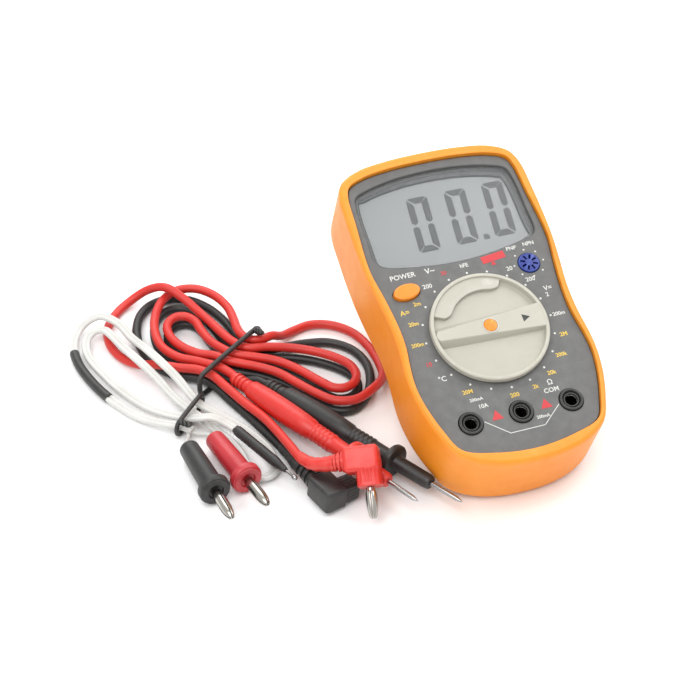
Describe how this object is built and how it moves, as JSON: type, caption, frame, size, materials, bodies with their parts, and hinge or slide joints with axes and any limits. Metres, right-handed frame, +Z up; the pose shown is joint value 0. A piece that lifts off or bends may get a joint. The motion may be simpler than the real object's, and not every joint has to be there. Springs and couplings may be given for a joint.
{
  "type": "digital multimeter",
  "caption": "Handheld digital multimeter in a rubber holster, propped on its folding tilt stand, with a pair of test leads and a thermocouple lead tied in loops beside it.",
  "frame": {"origin": "middle of the footprint of the meter with its open stand, on the table, leads not counted", "axes": "+Z up, +Y from the jacks towards the display along the table, +X to the right as the display is read"},
  "size_m": [0.1745, 0.1586, 0.0738],
  "materials": {
    "orange_rubber": "satin",
    "orange_plastic": "satin",
    "grey_plastic": "fine texture",
    "putty_plastic": "satin",
    "white_plastic": "plain",
    "window": "clear",
    "display": "smooth",
    "black_plastic": "satin",
    "blue_plastic": "satin",
    "red_plastic": "smooth",
    "dark_red_plastic": "smooth",
    "red_rubber": "smooth",
    "black_rubber": "smooth",
    "white_cable": "smooth",
    "board": "lacquered",
    "fuse_glass": "clear",
    "brass": "plain",
    "nickel": "polished",
    "steel": "plain",
    "battery_can": "plain"
  },
  "bodies": {
    "meter": {"holster": "orange_rubber", "front_case": "grey_plastic", "rear_case": "grey_plastic", "case_screw_1": "steel", "case_screw_2": "steel", "case_screw_3": "steel", "case_screw_4": "steel", "battery_door_screw": "steel", "battery_door": "grey_plastic", "battery": "battery_can", "battery_snap": "black_plastic", "battery_lead_red": "red_rubber", "battery_lead_black": "black_rubber", "lcd_window": "window", "lcd_module": "display", "lcd_frame": "black_plastic", "zebra_strip": "red_rubber", "circuit_board": "board", "fuse": "fuse_glass", "fuse_clip_left": "brass", "fuse_clip_right": "brass", "buzzer": "black_plastic", "current_shunt": "brass", "power_switch": "black_plastic", "transistor_socket": "blue_plastic", "jack_insulator_left": "black_plastic", "jack_sleeve_left": "nickel", "jack_insulator_middle": "black_plastic", "jack_sleeve_middle": "nickel", "jack_insulator_right": "black_plastic", "jack_sleeve_right": "nickel"},
    "knob": {"rotary_knob": "putty_plastic", "knob_cap": "orange_plastic", "contact_rotor": "white_plastic", "contact_wiper_1": "brass", "contact_wiper_2": "brass", "detent_ball_left": "steel", "detent_ball_right": "steel"},
    "button": {"power_button": "orange_plastic", "switch_plunger": "white_plastic"},
    "stand": {"tilt_stand": "orange_plastic"},
    "test_leads": {"black_probe_handle": "black_plastic", "black_probe_needle": "steel", "red_probe_handle": "red_plastic", "red_probe_needle": "steel", "red_plug_body": "red_plastic", "red_plug_pin": "nickel", "black_plug_body": "black_plastic", "black_plug_pin": "nickel", "red_cable": "red_rubber", "black_cable": "black_rubber", "lead_tie": "black_rubber"},
    "thermocouple_lead": {"thermo_tie": "black_rubber", "thermo_plug_black": "black_plastic", "thermo_pin_black": "nickel", "thermo_plug_red": "dark_red_plastic", "thermo_pin_red": "nickel", "thermo_cable": "white_cable", "thermo_sleeve": "black_rubber", "thermo_bead": "steel"}
  },
  "joints": [
    {"name": "knob_turn", "type": "hinge", "parent": "meter", "child": "knob", "pos_m": [0, -0.01617, 0.0453], "axis": [0, -0.3649, 0.9311], "continuous": true},
    {"name": "button_press", "type": "slide", "parent": "meter", "child": "button", "axis": [0, 0.3649, -0.9311], "range_m": [0, 0.0018], "stiffness_N_per_m": 200, "springref_m": -0.001},
    {"name": "stand_fold", "type": "hinge", "parent": "meter", "child": "stand", "pos_m": [0, 0.04253, 0.03802], "axis": [-1, 0, 0], "range_deg": [0, 90]},
    {"name": "test_leads_slide", "type": "slide", "parent": "meter", "child": "test_leads", "axis": [-1, 0, 0], "range_m": [0, 0.08]},
    {"name": "thermocouple_lift", "type": "slide", "parent": "test_leads", "child": "thermocouple_lead", "axis": [0, 0, 1], "range_m": [0, 0.06]}
  ]
}
